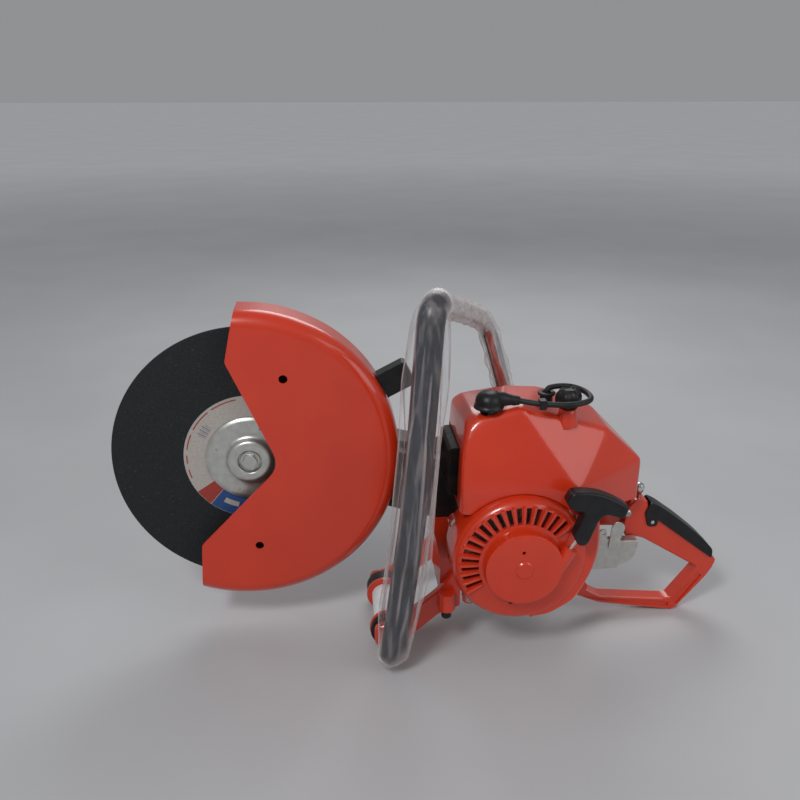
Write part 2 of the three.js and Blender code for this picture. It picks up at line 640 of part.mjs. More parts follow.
// ---------- rear handle ----------
function rearHandle() {
  const loop = rounded([
    [394, -172, 0], [394, -126, 0], [404, -126, 0], [432, -196, 8], [471, -218, 5], [562, -227, 4],
    [571, -226, 3],
    [605, -178, 4], [521, -127, 8], [498, -125, 4], [494, -106, 4], [498, -82, 4], [508, -70, 3],
    [524, -71, 3],
    [529, -88, 4], [627, -162, 3], [632, -169, 3], [628, -181, 4], [620, -195, 4], [581, -245, 4],
    [574, -246.2, 4],
    [470, -229, 4], [430, -212, 8],
  ]);
  const mast = slab(rounded([[394, -72], [508, -74], [520, -90], [512, -120], [490, -112], [394, -108]],
    4), -18, 8);
  const frame = fuse([slab(loop, HANDLE_Y0, HANDLE_Y1, 1.5), mast]);
  const lowerPocket = [[446, -214], [474, -222], [562, -231.5], [571, -234], [571, -240], [474, -225.5],
    [446, -219]];
  const strutPocket = [[577, -229], [608, -187], [614, -192], [583, -237]];
  const pockets = [lowerPocket, strutPocket].flatMap((outline) => [
    slab(outline, HANDLE_Y0 - 5, HANDLE_Y0 + 2), slab(outline, HANDLE_Y1 - 2, HANDLE_Y1 + 5),
  ]);
  const middle = (HANDLE_Y0 + HANDLE_Y1) / 2;
  const pinWay = rodY(2.9, -60, 30, ...THROTTLE_PIVOT, 12);
  const switchWay = rodAlong(3.2, 30, [515, middle, -86], [0, 0, 1], 12);
  node('rear_handle', cut(frame, [...pockets, pinWay, switchWay]), RED);

  const shell = rounded([
    [529, -73, 4], [541, -79, 8], [571, -101, 12], [602, -127, 12], [624, -150, 5], [624, -164, 4],
    [541, -101, 0],
    [540, -110, 4], [527, -110, 4], [522, -90, 4],
  ]);
  const room = [[500, -64], [530, -64], [530, -80], [571, -107], [602, -133], [626, -153], [640, -160],
    [640, -195],
    [500, -195]];
  const lever = cut(slab(shell, HANDLE_Y0 - 3.2, HANDLE_Y1 + 3.2, 0.8), [
    slab(room, HANDLE_Y0 - GAP, HANDLE_Y1 + GAP), rodY(2.9, -60, 30, ...THROTTLE_PIVOT, 12),
  ]);
  node('throttle_lever', lever, BLACK);
  node('throttle_pin', rodY(2.6, HANDLE_Y0 - 4.5, HANDLE_Y1 + 4.5, ...THROTTLE_PIVOT, 12), STEEL);

  const toggle = [[0, -80], [2.9, -80], [2.9, -68], [3.6, -64], [6, -60], [7, -56], [5.5, -51.5],
    [2.5, -49.6],
    [0, -49]];
  node('stop_switch', turnAlong(toggle, [515, middle, 0], [0, 0, 1], 16), STEEL);
}

// ---------- front handle, its roller and brackets ----------
function frontHandle() {
  const line = route([
    [ROLLER_X, 52, ROLLER_Z], [ROLLER_X, -94, ROLLER_Z, 3], [ROLLER_X, -135, -226, 30], [201, -135, -2, 70],
    [217, -135, 236, 34], [312, 60, 160, 40], [344, 60, 50, 30], [346, 60, -36],
  ], 55);
  node('front_handle_tube', sweep(line, TUBE_R, 0, 10), STEEL);
  const first = line.findIndex((p) => p.y < -118);
  const top = line.findIndex((p) => p.z > 214);
  const past = line.findIndex((p, i) => i > top && p.y > -118);
  node('handle_sleeve', sweep(line.slice(first, past + 1), SLEEVE_R, TUBE_R + 1.4, 10), RUBBER);
  const nearFilm = line.slice(first, past + 1);
  node('handle_film_near', sweep(nearFilm, 20.4, 19.2, 8), FILM);
  const last = line.findIndex((p, i) => i > past && p.z < 52);
  node('handle_film_far', sweep(line.slice(past + 2, last), 14.6, 13.4, 8), FILM);

  const clampWay = sweep(line.slice(-4), TUBE_R + 1, 0, 12);
  const bracket = fuse([block(328, 363, 30, ARM_Y1 - 0.3, -47.4, -10), block(328, 363, 44, 76, -42, -10)]);
  const seat = slab(racetrack(0, 0, 34.3, CRANK_X, CRANK_Z, 46.3), 20, 48.3);
  const coverSeat = slab(racetrack(0, 0, 46.4, CRANK_X, CRANK_Z, 50.4), 47, 100);
  node('handle_bracket', cut(bracket, [clampWay, seat, coverSeat]), ALLOY);

  const bore = TUBE_R + GAP;
  const ring = (r, y0, y1) => ringY(bore, r, y0, y1, ROLLER_X, ROLLER_Z, 22);
  node('roller_core', ring(17.5, -64, 8), WHITE);
  node('roller_flange_near', ring(ROLLER_FLANGE_R, -69.5, -64.3), RED);
  node('roller_flange_far', ring(ROLLER_FLANGE_R, 8.3, 13.5), RED);
  node('roller_ring_near', ring(23.5, -77, -69.8), RUBBER);
  node('roller_ring_far', ring(23.5, 13.8, 34), RUBBER);

  const armLine = rounded([[153, -238, 14], [153, -205, 14], [176, -203, 8], [232, -158, 10], [262, -120, 0],
    [282.7, -120, 0], [282.7, -172, 0], [246, -186, 10], [236, -190, 4], [182, -239, 8]]);
  const arms = [slab(armLine, -92, -80, 2), slab(armLine, 36, 46, 2)];
  const web = block(238, 282.7, -82, 38, -166, -114);
  const barrel = rodAlong(11, 24, [245, -97, -178], [0, 0, 1], 18);
  const bracketBody = fuse([...arms, web, barrel]);
  const ways = [
    rodY(bore + 0.2, -110, 60, ROLLER_X, ROLLER_Z, 24),
    rodY(60.3, -66.4, 28.4, CRANK_X, CRANK_Z, 32),
    rodY(HOUSING_R + 0.6, -200, HOUSING_Y1 + 0.4, CRANK_X, CRANK_Z, 40),
    block(263, 290, -100, HOUSING_Y1 + 0.4, -200, -100),
    slab(racetrack(0, 0, 34.4, CRANK_X, CRANK_Z, 46.4), ARM_Y0 - 0.4, 60),
  ];
  node('front_bracket', cut(bracketBody, ways), RED);
}

cuttingHead();
guard();
beltArm();
crankTrain();
ignition();
hood();
muffler();
starter();
fuelAndAir();
rearHandle();
frontHandle();

export default group;
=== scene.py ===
"""Petrol cut-off saw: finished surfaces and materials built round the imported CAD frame."""
import json
import math

import bmesh
import bpy
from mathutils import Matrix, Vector, noise


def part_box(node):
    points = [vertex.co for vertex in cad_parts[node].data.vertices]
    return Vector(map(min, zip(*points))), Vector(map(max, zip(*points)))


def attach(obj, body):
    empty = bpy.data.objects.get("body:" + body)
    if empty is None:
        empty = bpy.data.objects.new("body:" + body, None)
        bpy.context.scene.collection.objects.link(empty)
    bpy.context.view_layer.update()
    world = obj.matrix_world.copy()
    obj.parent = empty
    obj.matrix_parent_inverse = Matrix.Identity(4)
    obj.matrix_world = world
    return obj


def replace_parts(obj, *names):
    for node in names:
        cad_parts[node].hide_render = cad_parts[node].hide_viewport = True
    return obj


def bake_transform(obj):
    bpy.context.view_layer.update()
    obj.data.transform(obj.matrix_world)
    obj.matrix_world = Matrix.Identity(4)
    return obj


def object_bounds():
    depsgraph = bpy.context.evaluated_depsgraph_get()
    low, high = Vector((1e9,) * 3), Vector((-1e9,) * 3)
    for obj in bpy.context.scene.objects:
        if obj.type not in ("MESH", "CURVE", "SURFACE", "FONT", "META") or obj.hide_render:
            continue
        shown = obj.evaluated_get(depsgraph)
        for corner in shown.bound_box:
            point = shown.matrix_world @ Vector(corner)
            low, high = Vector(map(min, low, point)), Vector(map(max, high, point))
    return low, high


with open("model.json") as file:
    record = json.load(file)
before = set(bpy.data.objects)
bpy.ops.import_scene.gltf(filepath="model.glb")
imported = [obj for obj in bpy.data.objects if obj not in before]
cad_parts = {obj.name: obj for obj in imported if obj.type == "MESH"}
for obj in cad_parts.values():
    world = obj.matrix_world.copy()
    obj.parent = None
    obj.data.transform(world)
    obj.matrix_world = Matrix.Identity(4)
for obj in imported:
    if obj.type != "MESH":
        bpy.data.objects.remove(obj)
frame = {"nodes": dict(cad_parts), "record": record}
CAD_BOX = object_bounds()
NODES = frame["nodes"]

# ---------------------------------------------------------------- places
# Lengths below are millimetres from the disc's centre: x towards the rear handle, y towards the belt, z up.
DISC_LOW, DISC_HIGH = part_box("cutting_disc")
HUB = (DISC_LOW + DISC_HIGH) / 2
DISC_R = (DISC_HIGH.x - DISC_LOW.x) * 500
CRANK = (331, -94)
GUARD_CENTRE = (-4, 4)
GUARD_R = 195.5
KNOB = (391, -75)  # x and y: the hood knob turns about an upright axis
FILM = 0.12  # thickness of the clear film


def at(x, y, z):
    """A place on the saw, in the row frame's metres."""
    return HUB + Vector((x, y, z)) / 1000


# ---------------------------------------------------------------- camera
def make_camera():
    """Stands off from the middle of the CAD box by an azimuth, an elevation and a distance in metres."""
    low, high = CAD_BOX
    azimuth, elevation, distance = math.radians(-4.76), math.radians(20.6), 1.0892
    back = Vector((math.sin(azimuth) * math.cos(elevation), -math.cos(azimuth) * math.cos(elevation),
                   math.sin(elevation)))
    target = (low + high) / 2 + Vector((-0.0347, 0.0298, 0.0716))
    data = bpy.data.cameras.new("camera")
    data.lens = 38.25
    data.sensor_width = 36
    data.clip_start = 0.05
    camera = bpy.data.objects.new("camera", data)
    camera.location = target + back * distance
    camera.rotation_mode = "QUATERNION"
    camera.rotation_quaternion = (-back).to_track_quat("-Z", "Y")
    bpy.context.scene.collection.objects.link(camera)
    bpy.context.scene.camera = camera


make_camera()


# ---------------------------------------------------------------- material helpers
def tint(code):
    """A "RRGGBB" screen colour as the linear colour that a shader takes."""
    channels = [int(code[i:i + 2], 16) / 255 for i in (0, 2, 4)]
    linear = [c / 12.92 if c <= 0.04045 else ((c + 0.055) / 1.055) ** 2.4 for c in channels]
    return (*linear, 1.0)


def add(tree, kind, settings=None, links=None):
    """Adds a shader node, sets its properties or input values, and links (node, output) pairs into it."""
    made = tree.nodes.new(kind)
    for key, value in (settings or {}).items():
        if isinstance(key, str) and hasattr(made, key):
            setattr(made, key, value)
        else:
            made.inputs[key].default_value = value
    for key, (source, output) in (links or {}).items():
        tree.links.new(source.outputs[output], made.inputs[key])
    return made


def start(name, **settings):
    """A new Principled material: returns it, its tree, the shader and the object coordinates."""
    material = bpy.data.materials.new(name)
    material.use_nodes = True
    tree = material.node_tree
    tree.nodes.clear()
    shader = add(tree, "ShaderNodeBsdfPrincipled", settings)
    add(tree, "ShaderNodeOutputMaterial", links={"Surface": (shader, "BSDF")})
    place = add(tree, "ShaderNodeTexCoord")
    return material, tree, shader, place


def per_mm(size):
    """Noise scale, per metre, whose features are about `size` millimetres."""
    return 1000 / size


def noise_at(tree, place, size, detail=3.0, roughness=0.5):
    """Noise whose features are about `size` millimetres, in the piece's own coordinates."""
    return add(tree, "ShaderNodeTexNoise",
               {"Scale": per_mm(size), "Detail": detail, "Roughness": roughness},
               {"Vector": (place, "Object")})


def mottle(tree, shader, place, size, stops, detail=3.0):
    """Base colour that drifts between hex stops over patches of `size` millimetres."""
    patches = noise_at(tree, place, size, detail)
    ramp = add(tree, "ShaderNodeValToRGB", links={"Fac": (patches, "Fac")})
    ramp.color_ramp.elements[0].position = stops[0][0]
    ramp.color_ramp.elements[0].color = tint(stops[0][1])
    ramp.color_ramp.elements[1].position = stops[-1][0]
    ramp.color_ramp.elements[1].color = tint(stops[-1][1])
    for where, code in stops[1:-1]:
        ramp.color_ramp.elements.new(where).color = tint(code)
    tree.links.new(ramp.outputs["Color"], shader.inputs["Base Color"])
    return ramp


def uneven_gloss(tree, shader, place, size, low, high):
    """Roughness that wanders from low to high over patches of `size` millimetres."""
    patches = noise_at(tree, place, size, 4.0)
    spread = add(tree, "ShaderNodeMapRange",
                 {"From Min": 0.2, "From Max": 0.8, "To Min": low, "To Max": high},
                 {"Value": (patches, "Fac")})
    tree.links.new(spread.outputs["Result"], shader.inputs["Roughness"])


def relief(tree, shader, source, output, height, strength=1.0, under=None):
    """Bump of `height` millimetres from a pattern; `under` is an earlier bump to add to."""
    links = {"Height": (source, output)}
    if under:
        links["Normal"] = (under, "Normal")
    bump = add(tree, "ShaderNodeBump", {"Distance": height / 1000, "Strength": strength}, links)
    tree.links.new(bump.outputs["Normal"], shader.inputs["Normal"])
    return bump


# ---------------------------------------------------------------- materials
# Grain too fine to show in a render is drawn coarser than it is, at 0.7 to 2.2 mm.
def red_enamel():
    """Sprayed orange-red enamel on sheet steel and castings: wet gloss with a faint orange peel."""
    material, tree, shader, place = start("red_enamel", Metallic=0.0, IOR=1.5)
    shader.inputs["Coat Weight"].default_value = 0.6
    shader.inputs["Coat Roughness"].default_value = 0.04
    mottle(tree, shader, place, 90, [(0.2, "C62C0C"), (0.8, "D2350F")], 2.0)
    uneven_gloss(tree, shader, place, 60, 0.3, 0.36)
    peel = noise_at(tree, place, 2.5, 2.0)
    relief(tree, shader, peel, "Fac", 0.05, 0.5)
    return material


def black_moulding():
    """Injection-moulded black nylon with a fine spark-eroded grain."""
    material, tree, shader, place = start("black_moulding", IOR=1.42)
    mottle(tree, shader, place, 12, [(0.35, "101012"), (0.7, "1A1B1D")])
    uneven_gloss(tree, shader, place, 6, 0.36, 0.5)
    grain = noise_at(tree, place, 0.7, 2.0)
    relief(tree, shader, grain, "Fac", 0.05, 0.6)
    return material


def black_rubber():
    """Moulded nitrile rubber: dull, slightly grey with bloom."""
    material, tree, shader, place = start("black_rubber", IOR=1.42)
    mottle(tree, shader, place, 18, [(0.35, "121315"), (0.7, "1E2022")])
    uneven_gloss(tree, shader, place, 9, 0.42, 0.6)
    grain = noise_at(tree, place, 1.6, 3.0)
    relief(tree, shader, grain, "Fac", 0.1, 0.5)
    return material


def extruded_sleeve():
    """Blue-black extruded grip sleeve, satin, with fine draw lines."""
    material, tree, shader, place = start("grip_sleeve", IOR=1.5)
    mottle(tree, shader, place, 22, [(0.35, "161C24"), (0.7, "262F3A")])
    uneven_gloss(tree, shader, place, 12, 0.28, 0.4)
    grain = noise_at(tree, place, 1.2, 2.0)
    relief(tree, shader, grain, "Fac", 0.08, 0.5)
    return material


def zinc_plate():
    """Bright zinc-plated steel: pale, faintly clouded, with fine turning marks."""
    material, tree, shader, place = start("zinc_plate", Metallic=0.85)
    mottle(tree, shader, place, 9, [(0.25, "BBBBB6"), (0.75, "D0D0CA")], 4.0)
    uneven_gloss(tree, shader, place, 5, 0.28, 0.42)
    marks = noise_at(tree, place, 0.9, 2.0)
    relief(tree, shader, marks, "Fac", 0.03, 0.5)
    return material


def bright_chrome():
    """Bright plated tube and switch: mirror-like with slight haze."""
    material, tree, shader, place = start("bright_chrome", Metallic=1.0)
    mottle(tree, shader, place, 20, [(0.3, "C4C5C6"), (0.7, "DADADA")])
    uneven_gloss(tree, shader, place, 8, 0.1, 0.2)
    return material


def cast_alloy():
    """Die-cast aluminium: satin grey with a sandy cast skin."""
    material, tree, shader, place = start("cast_alloy", Metallic=0.7)
    mottle(tree, shader, place, 8, [(0.25, "BDBBB6"), (0.75, "D0CECA")])
    uneven_gloss(tree, shader, place, 4, 0.38, 0.55)
    skin = noise_at(tree, place, 1.4, 3.0)
    relief(tree, shader, skin, "Fac", 0.12, 0.6)
    return material


def dark_steel():
    """Heat-darkened sheet steel with a brown oxide bloom."""
    material, tree, shader, place = start("dark_steel", Metallic=0.8)
    mottle(tree, shader, place, 14, [(0.3, "17181A"), (0.6, "26241F"), (0.8, "3A2E24")])
    uneven_gloss(tree, shader, place, 7, 0.45, 0.65)
    scale = noise_at(tree, place, 1.5, 4.0)
    relief(tree, shader, scale, "Fac", 0.1, 0.6)
    return material


def abrasive():
    """Resin-bonded abrasive: black and gritty, with pale glints where grains stand out.

    The grains are drawn about 1.4 mm across so that they show.
    """
    material, tree, shader, place = start("resin_abrasive", IOR=1.6)
    shader.inputs["Specular IOR Level"].default_value = 0.3
    grit = add(tree, "ShaderNodeTexVoronoi", {"Scale": per_mm(1.4), "Randomness": 1.0},
               {"Vector": (place, "Object")})
    ramp = add(tree, "ShaderNodeValToRGB", links={"Fac": (grit, "Color")})
    ramp.color_ramp.elements[0].position = 0.2
    ramp.color_ramp.elements[0].color = tint("141618")
    ramp.color_ramp.elements[1].position = 0.97
    ramp.color_ramp.elements[1].color = tint("3E4246")
    ramp.color_ramp.elements.new(0.88).color = tint("1D2023")
    tree.links.new(ramp.outputs["Color"], shader.inputs["Base Color"])
    uneven_gloss(tree, shader, place, 3, 0.55, 0.85)
    lumps = noise_at(tree, place, 3.0, 5.0, 0.7)
    under = relief(tree, shader, grit, "Distance", 0.35, 0.7)
    relief(tree, shader, lumps, "Fac", 0.3, 0.6, under)
    return material


def nylon_white():
    """Turned white nylon, slightly translucent."""
    material, tree, shader, place = start("nylon_white", IOR=1.53)
    mottle(tree, shader, place, 15, [(0.3, "D9DEE3"), (0.7, "EEF1F4")])
    uneven_gloss(tree, shader, place, 5, 0.35, 0.5)
    marks = noise_at(tree, place, 1.2, 2.0)
    relief(tree, shader, marks, "Fac", 0.05, 0.4)
    return material


def plain_print(name, light, dark, rough=0.45):
    """Printed paper or glazed surface with a faint fibre mottle."""
    material, tree, shader, place = start(name, IOR=1.45)
    mottle(tree, shader, place, 3, [(0.3, dark), (0.7, light)])
    uneven_gloss(tree, shader, place, 3, rough, rough + 0.12)
    fibres = noise_at(tree, place, 0.8, 2.0)
    relief(tree, shader, fibres, "Fac", 0.03, 0.4)
    return material


def packing_film():
    """Stretch wrap: clear, whitening where it turns edge-on or bunches, with glossy long creases."""
    material, tree, shader, place = start("packing_film", Roughness=0.12, IOR=1.5)
    mottle(tree, shader, place, 40, [(0.3, "E2D4D2"), (0.7, "ECE4E4")])
    along = add(tree, "ShaderNodeMapping", links={"Vector": (place, "Object")})
    along.inputs["Scale"].default_value = (1.0, 1.0, 0.16)
    creases = add(tree, "ShaderNodeTexNoise", {"Scale": per_mm(9), "Detail": 3.0, "Distortion": 0.6},
                  {"Vector": (along, "Vector")})
    folds = add(tree, "ShaderNodeMapRange",
                {"From Min": 0.5, "From Max": 0.75, "To Min": 0.0, "To Max": 0.1},
                {"Value": (creases, "Fac")})
    edge = add(tree, "ShaderNodeLayerWeight", {"Blend": 0.35})
    rim = add(tree, "ShaderNodeMapRange",
              {"From Min": 0.25, "From Max": 0.9, "To Min": 0.03, "To Max": 0.6},
              {"Value": (edge, "Facing")})
    both = add(tree, "ShaderNodeMath", {"operation": "ADD"}, {0: (folds, "Result"), 1: (rim, "Result")})
    tree.links.new(both.outputs["Value"], shader.inputs["Alpha"])
    relief(tree, shader, creases, "Fac", 2.0, 0.6)
    return material


def braided_cord():
    """Braided polyester starter cord: strands drawn about 1.5 mm apart."""
    material, tree, shader, place = start("braided_cord", IOR=1.5, Roughness=0.8)
    mottle(tree, shader, place, 3, [(0.3, "A9A79F"), (0.7, "D5D3CB")])
    strands = add(tree, "ShaderNodeTexWave", {"Scale": 200.0, "Distortion": 2.0},
                  {"Vector": (place, "Object")})
    relief(tree, shader, strands, "Fac", 0.3, 0.7)
    return material


def filter_foam():
    """Open-cell filter foam."""
    material, tree, shader, place = start("filter_foam", IOR=1.4, Roughness=0.95)
    cells = add(tree, "ShaderNodeTexVoronoi", {"Scale": per_mm(2.2)}, {"Vector": (place, "Object")})
    mottle(tree, shader, place, 4, [(0.3, "1E1F20"), (0.7, "36383A")])
    relief(tree, shader, cells, "Distance", 0.8, 0.9)
    return material


PAINT = {
    "red_paint": red_enamel(), "black_plastic": black_moulding(), "black_rubber": black_rubber(),
    "zinc_steel": zinc_plate(), "cast_alloy": cast_alloy(), "white_nylon": nylon_white(),
    "abrasive": abrasive(), "clear_film": packing_film(), "dark_steel": dark_steel(),
    "ceramic_white": plain_print("porcelain", "F1EFE8", "E2E0D8", 0.15), "rope": braided_cord(),
    "filter_foam": filter_foam(), "chrome_switch": bright_chrome(), "chrome_tube": bright_chrome(),
}
SLEEVE = extruded_sleeve()
LABEL_PAPER = plain_print("label_paper", "B4ACA6", "A39C97")
LABEL_RED = plain_print("label_red", "A03A30", "8E322A")
LABEL_BLUE = plain_print("label_blue", "2C4F86", "234274")
LABEL_GREY = plain_print("label_grey", "7E8288", "6A6E74")


# ---------------------------------------------------------------- mesh helpers
def shade(piece, angle=32):
    """Smooth shading that keeps an edge sharp where its faces meet at more than `angle` degrees."""
    mesh = piece.data
    mesh.polygons.foreach_set("use_smooth", [True] * len(mesh.polygons))
    mesh.set_sharp_from_angle(angle=math.radians(angle))


def soften(piece, width, segments=2, angle=30):
    """Rounds the edges that meet at more than `angle` degrees by `width` millimetres."""
    bevel = piece.modifiers.new("softened_edges", "BEVEL")
    bevel.width = width / 1000
    bevel.segments = segments
    bevel.limit_method = "ANGLE"
    bevel.angle_limit = math.radians(angle)
    bevel.miter_outer = "MITER_ARC"
    even = piece.modifiers.new("even_shading", "WEIGHTED_NORMAL")
    even.keep_sharp = True


def piece_from(name, vertices, faces, body, slot, material=None):
    """A shaded mesh object, riding `body` if one is given."""
    mesh = bpy.data.meshes.new(name)
    mesh.from_pydata([tuple(v) for v in vertices], [], faces)
    mesh.materials.append(material or PAINT[slot])
    work = bmesh.new()
    work.from_mesh(mesh)
    bmesh.ops.remove_doubles(work, verts=work.verts, dist=1e-6)
    bmesh.ops.recalc_face_normals(work, faces=work.faces)
    work.to_mesh(mesh)
    work.free()
    piece = bpy.data.objects.new(name, mesh)
    bpy.context.scene.collection.objects.link(piece)
    shade(piece)
    if body:
        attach(piece, body)
    return piece


def applied(piece):
    """Turns the piece's modifiers into its mesh."""
    bpy.context.view_layer.update()
    graph = bpy.context.evaluated_depsgraph_get()
    mesh = bpy.data.meshes.new_from_object(piece.evaluated_get(graph))
    piece.modifiers.clear()
    piece.data = mesh


def carved(piece, tools, operation="DIFFERENCE"):
    """Cuts the piece by the tools, or keeps what lies in them with INTERSECT, and removes the tools."""
    for tool in tools:
        carve = piece.modifiers.new("carve", "BOOLEAN")
        carve.operation = operation
        carve.solver = "EXACT"
        carve.object = tool
    applied(piece)
    for tool in tools:
        bpy.data.objects.remove(tool)
    shade(piece)
    return piece


def turned(name, profile, base, axis, body, slot, material=None, segments=64, closed=False):
    """Revolves (radius, height) points about `axis` through `base`; `closed` joins the last to the first."""
    turn = Vector(axis).normalized().to_track_quat("Z", "X").to_matrix()
    origin = at(*base)
    vertices, faces = [], []
    count = len(profile)
    for i in range(segments):
        t = 2 * math.pi * i / segments
        vertices += [origin + turn @ Vector((r * math.cos(t), r * math.sin(t), h)) / 1000 for r, h in profile]
    steps = count if closed else count - 1
    for i in range(segments):
        near, far = i * count, ((i + 1) % segments) * count
        for k in range(steps):
            m = (k + 1) % count
            faces.append((near + k, far + k, far + m, near + m))
    return piece_from(name, vertices, faces, body, slot, material)


def rounded(points, radius=0.0, steps=5):
    """Closed outline or profile with its corners rounded; a point's third value is its own corner reach."""
    out = []
    count = len(points)
    for i, point in enumerate(points):
        p = Vector(point[:2])
        before, after = Vector(points[i - 1][:2]) - p, Vector(points[(i + 1) % count][:2]) - p
        reach = point[2] if len(point) > 2 else radius
        reach = min(reach, before.length * 0.48, after.length * 0.48)
        if reach <= 0:
            out.append(tuple(p))
            continue
        a, b = p + before.normalized() * reach, p + after.normalized() * reach
        for k in range(steps + 1):
            t = k / steps
            out.append(tuple((1 - t) ** 2 * a + 2 * t * (1 - t) * p + t * t * b))
    return out


def washer(name, inner, outer, y0, y1, x, z, body, slot, material=None, soft=0.6, segments=72):
    """A ring about the y axis at (x, z) with softened corners."""
    profile = rounded([(inner, y0), (outer, y0), (outer, y1), (inner, y1)], soft)
    return turned(name, profile, (x, 0, z), (0, 1, 0), body, slot, material, segments, closed=True)


def bent_line(points, spacing, steps=10):
    """Points along a polyline whose corners are rounded: each point is (x, y, z, corner reach)."""
    out = [Vector(points[0][:3])]

    def straight(end):
        first = out[-1].copy()
        count = max(1, round((end - first).length / spacing))
        out.extend(first.lerp(end, k / count) for k in range(1, count + 1))

    for before, after in zip(points[1:-1], points[2:]):
        p = Vector(before[:3])
        reach = before[3]
        a = p + (out[-1] - p).normalized() * reach
        b = p + (Vector(after[:3]) - p).normalized() * reach
        straight(a)
        out.extend((1 - t) ** 2 * a + 2 * t * (1 - t) * p + t * t * b
                   for t in [k / steps for k in range(1, steps + 1)])
    straight(Vector(points[-1][:3]))
    return out


def swept(name, line, radius, body, slot, material=None, sides=24, wall=0.0):
    """Round bar along a line; `radius` may be a function of (share along, angle). A wall makes it a tube."""
    radius_of = radius if callable(radius) else lambda share, turn: radius
    count = len(line)
    tangents = [(line[min(i + 1, count - 1)] - line[max(i - 1, 0)]).normalized() for i in range(count)]
    side = tangents[0].orthogonal().normalized()
    rings = []
    for i, (point, tangent) in enumerate(zip(line, tangents)):
        side = (side - tangent * side.dot(tangent)).normalized()
        up = tangent.cross(side)
        ring = []
        for k in range(sides):
            t = 2 * math.pi * k / sides
            ring.append((point, math.cos(t) * side + math.sin(t) * up, radius_of(i / (count - 1), t)))
        rings.append(ring)
    vertices = [at(*(p + d * r)) for ring in rings for p, d, r in ring]
    faces = []
    for i in range(count - 1):
        here, ahead = i * sides, (i + 1) * sides
        for k in range(sides):
            m = (k + 1) % sides
            faces.append((here + k, here + m, ahead + m, ahead + k))
    if wall:
        inner = len(vertices)
        vertices += [at(*(p + d * (r - wall))) for ring in rings for p, d, r in ring]
        faces += [tuple(inner + v for v in reversed(face)) for face in faces[:]]
        for i in (0, count - 1):
            for k in range(sides):
                a, b = i * sides + k, i * sides + (k + 1) % sides
                faces.append((a, b, inner + b, inner + a))
    else:
        faces += [tuple(range(sides)), tuple(range((count - 1) * sides, count * sides))]
    return piece_from(name, vertices, faces, body, slot, material)


def prism(name, outline, y0, y1, body, slot, material=None, soft=0.0, segments=4):
    """Extrudes an (x, z) outline from y0 to y1 and rounds its edges by `soft` millimetres."""
    count = len(outline)
    vertices = [at(x, y0, z) for x, z in outline] + [at(x, y1, z) for x, z in outline]
    faces = [tuple(range(count)), tuple(range(2 * count - 1, count - 1, -1))]
    faces += [(k, (k + 1) % count, count + (k + 1) % count, count + k) for k in range(count)]
    piece = piece_from(name, vertices, faces, body, slot, material)
    if soft:
        soften(piece, soft, segments, 50)
    return piece


def rod(name, radius, y0, y1, x, z, body, slot, segments=32):
    """A plain cylinder along y at (x, z), to cut with."""
    profile = [(0, y0), (radius, y0), (radius, y1), (0, y1)]
    return turned(name, profile, (x, 0, z), (0, 1, 0), body, slot, segments=segments)


def drill(name, radius, depth, base, axis, segments=32):
    """A plain cylinder from `base` along any axis, to cut with."""
    profile = [(0, 0), (radius, 0), (radius, depth), (0, depth)]
    return turned(name, profile, base, axis, None, "red_paint", segments=segments)


# ---------------------------------------------------------------- CAD pieces kept as they are
def dress(name, material, bevel, angle, segments):
    """Gives a CAD node its finish and lightly rounded edges."""
    node = NODES[name]
    node.data.materials.clear()
    node.data.materials.append(material)
    weld = node.modifiers.new("weld", "WELD")
    weld.merge_threshold = 1e-6
    shade(node, angle)
    soften(node, bevel, segments, angle)


SLOT_OF = {row["node"]: row["material_slot"] for row in frame["record"]["subparts"]}
# bevel in millimetres, angle above which an edge is rounded, and segments
EDGE = {"starter_housing": (0.9, 38, 3), "belt_cover": (2.0, 30, 3),
        "rear_handle": (1.3, 40, 3), "carburettor_plate": (0.3, 40, 2), "choke_lever": (0.3, 40, 2),
        "carburettor_body": (1.5, 30, 3), "front_bracket": (1.2, 40, 3), "muffler": (1.5, 30, 3)}
BLACKED = {"cutter_arm", "crankcase"}  # castings drawn black instead of bare alloy: painted shade for how dark they sit in shadow
for node_name in NODES:
    finish = PAINT["black_plastic"] if node_name in BLACKED else PAINT[SLOT_OF[node_name]]
    dress(node_name, finish, *EDGE.get(node_name, (0.6, 35, 2)))


# ---------------------------------------------------------------- disc and its clamp
def ring_sector(name, r0, r1, from_deg, to_deg, y, material, body="blade", slot="abrasive", thick=0.12):
    """Flat printed patch on the disc between two radii and two angles; angles turn from +x towards +z."""
    steps = max(2, round(abs(to_deg - from_deg) / 3))
    outline = [(r0 * math.cos(t), r0 * math.sin(t)) for t in
               [math.radians(from_deg + (to_deg - from_deg) * k / steps) for k in range(steps + 1)]]
    outline += [(r1 * math.cos(t), r1 * math.sin(t)) for t in
                [math.radians(to_deg + (from_deg - to_deg) * k / steps) for k in range(steps + 1)]]
    return prism(name, outline, y - thick, y, body, slot, material)


